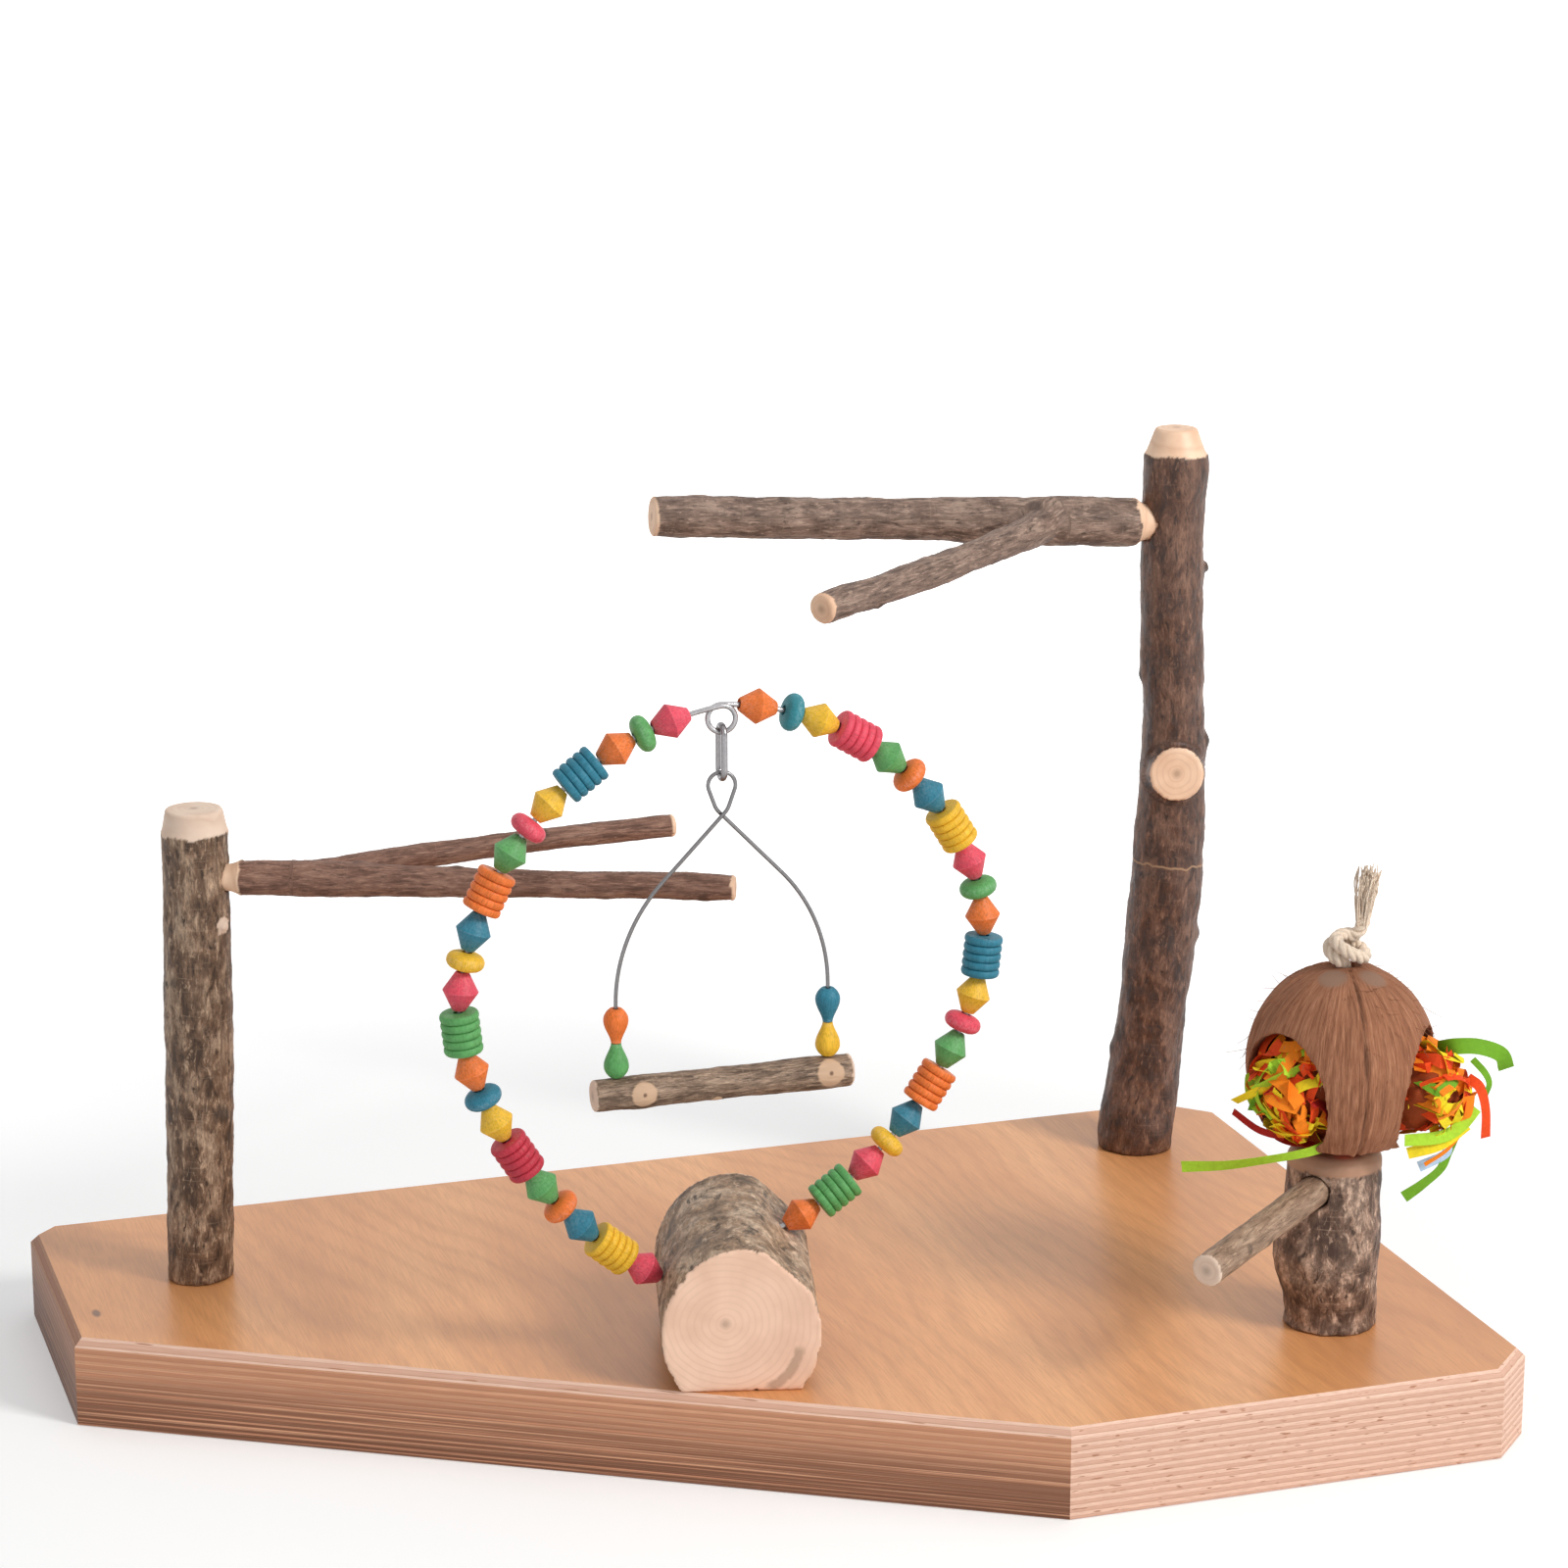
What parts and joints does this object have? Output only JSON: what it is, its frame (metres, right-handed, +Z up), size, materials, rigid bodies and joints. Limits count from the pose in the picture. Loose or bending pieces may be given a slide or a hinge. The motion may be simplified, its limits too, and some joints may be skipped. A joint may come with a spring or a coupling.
{
  "type": "parrot play stand",
  "caption": "Tabletop play stand for a parrot: thick wooden board with branch perches, a ring of dyed wooden beads with a hanging swing, and a coconut feeder on a stump.",
  "frame": {"origin": "centre of the board's bounding rectangle on its underside", "axes": "+X along the long back edge to the right, +Y to the back edge, +Z up"},
  "size_m": [0.6, 0.373, 0.4],
  "materials": {
    "beech_board": "satin",
    "branch_bark": "matte",
    "dark_bark": "matte",
    "pale_bark": "matte",
    "peg_wood": "satin",
    "steel_wire": "satin",
    "steel_link": "polished",
    "coconut": "matte",
    "paper_strips": "matte",
    "rope_cotton": "matte",
    "screw_steel": "satin",
    "bead_pink": "satin",
    "bead_red": "satin",
    "bead_green": "satin",
    "bead_orange": "satin",
    "bead_blue": "satin",
    "bead_teal": "satin",
    "bead_yellow": "satin"
  },
  "bodies": {
    "stand": {"base_board": "beech_board", "left_post": "branch_bark", "left_perch": "branch_bark", "right_post": "dark_bark", "right_perch": "dark_bark", "stump": "dark_bark", "stump_perch": "peg_wood", "ring_log": "pale_bark", "ring_wire": "steel_wire", "cotton_rope": "rope_cotton", "wood_screws": "screw_steel"},
    "link": {"chain_link": "steel_link"},
    "swing": {"swing_wire": "steel_wire", "swing_perch": "branch_bark"},
    "swing_beads_left": {"left_swing_beads": "bead_orange"},
    "swing_beads_right": {"right_swing_beads": "bead_blue"},
    "coconut": {"coconut_shell": "coconut", "paper_stuffing": "paper_strips"},
    "loose_bead": {"right_bead_01": "bead_orange"},
    "beads_left_upper": {"left_bead_01": "bead_pink", "left_bead_02": "bead_green", "left_bead_03": "bead_orange", "left_bead_04": "bead_blue", "left_bead_05": "bead_yellow", "left_bead_06": "bead_pink", "left_bead_07": "bead_green", "left_bead_08": "bead_orange", "left_bead_09": "bead_blue", "left_bead_10": "bead_yellow"},
    "beads_left_middle": {"left_bead_11": "bead_pink", "left_bead_12": "bead_green"},
    "beads_left_lower": {"left_bead_13": "bead_orange", "left_bead_14": "bead_blue", "left_bead_15": "bead_yellow", "left_bead_16": "bead_red", "left_bead_17": "bead_green", "left_bead_18": "bead_orange", "left_bead_19": "bead_blue", "left_bead_20": "bead_yellow", "left_bead_21": "bead_pink"},
    "beads_right_upper": {"right_bead_02": "bead_teal", "right_bead_03": "bead_yellow", "right_bead_04": "bead_pink", "right_bead_05": "bead_green", "right_bead_06": "bead_orange", "right_bead_07": "bead_blue", "right_bead_08": "bead_yellow"},
    "beads_right_middle": {"right_bead_09": "bead_pink", "right_bead_10": "bead_green", "right_bead_11": "bead_orange", "right_bead_12": "bead_blue", "right_bead_13": "bead_yellow"},
    "beads_right_lower": {"right_bead_14": "bead_pink", "right_bead_15": "bead_green", "right_bead_16": "bead_orange", "right_bead_17": "bead_blue", "right_bead_18": "bead_yellow", "right_bead_19": "bead_pink", "right_bead_20": "bead_green", "right_bead_21": "bead_orange"}
  },
  "joints": [
    {"name": "link_hinge", "type": "hinge", "parent": "stand", "child": "link", "pos_m": [-0.0321, -0.0567, 0.3166], "axis": [1, 0, 0], "range_deg": [-60, 32]},
    {"name": "swing_hinge", "type": "hinge", "parent": "link", "child": "swing", "pos_m": [-0.0321, -0.0567, 0.2968], "axis": [0, 1, 0], "range_deg": [-18, 18]},
    {"name": "swing_beads_left_spin", "type": "hinge", "parent": "swing", "child": "swing_beads_left", "pos_m": [-0.0794, -0.0567, 0.1838], "axis": [0, 0, 1], "continuous": true},
    {"name": "swing_beads_right_spin", "type": "hinge", "parent": "swing", "child": "swing_beads_right", "pos_m": [0.0152, -0.0567, 0.1838], "axis": [0, 0, 1], "continuous": true},
    {"name": "coconut_turn", "type": "hinge", "parent": "stand", "child": "coconut", "pos_m": [0.234, -0.1099, 0.1593], "axis": [0, 0, 1], "continuous": true},
    {"name": "loose_bead_spin", "type": "hinge", "parent": "stand", "child": "loose_bead", "pos_m": [-0.01588, -0.0554, 0.32627], "axis": [0.9835, 0, -0.1808], "continuous": true},
    {"name": "slide_left_upper", "type": "hinge", "parent": "stand", "child": "beads_left_upper", "pos_m": [-0.01532, -0.058, 0.19662], "axis": [0, 1, 0], "range_deg": [0, 2.59]},
    {"name": "slide_left_middle", "type": "hinge", "parent": "stand", "child": "beads_left_middle", "pos_m": [-0.06754, -0.058, 0.20564], "axis": [0, 1, 0], "range_deg": [0, 4.31]},
    {"name": "slide_left_lower", "type": "hinge", "parent": "stand", "child": "beads_left_lower", "pos_m": [0.04323, -0.058, 0.24421], "axis": [0, 1, 0], "range_deg": [0, 1.75]},
    {"name": "slide_right_upper", "type": "hinge", "parent": "stand", "child": "beads_right_upper", "pos_m": [-0.03951, -0.0554, 0.19772], "axis": [0, -1, 0], "range_deg": [0, 1.36]},
    {"name": "slide_right_middle", "type": "hinge", "parent": "stand", "child": "beads_right_middle", "pos_m": [0.00026, -0.0554, 0.21677], "axis": [0, -1, 0], "range_deg": [0, 2.05]},
    {"name": "slide_right_lower", "type": "hinge", "parent": "stand", "child": "beads_right_lower", "pos_m": [-0.07613, -0.0554, 0.24488], "axis": [0, -1, 0], "range_deg": [0, 1.06]}
  ],
  "couplings": [
    {"joint": "slide_left_middle", "follows": "slide_left_upper", "ratio": 1.665},
    {"joint": "slide_left_lower", "follows": "slide_left_upper", "ratio": 0.6736},
    {"joint": "slide_right_middle", "follows": "slide_right_upper", "ratio": 1.5092},
    {"joint": "slide_right_lower", "follows": "slide_right_upper", "ratio": 0.77798}
  ]
}
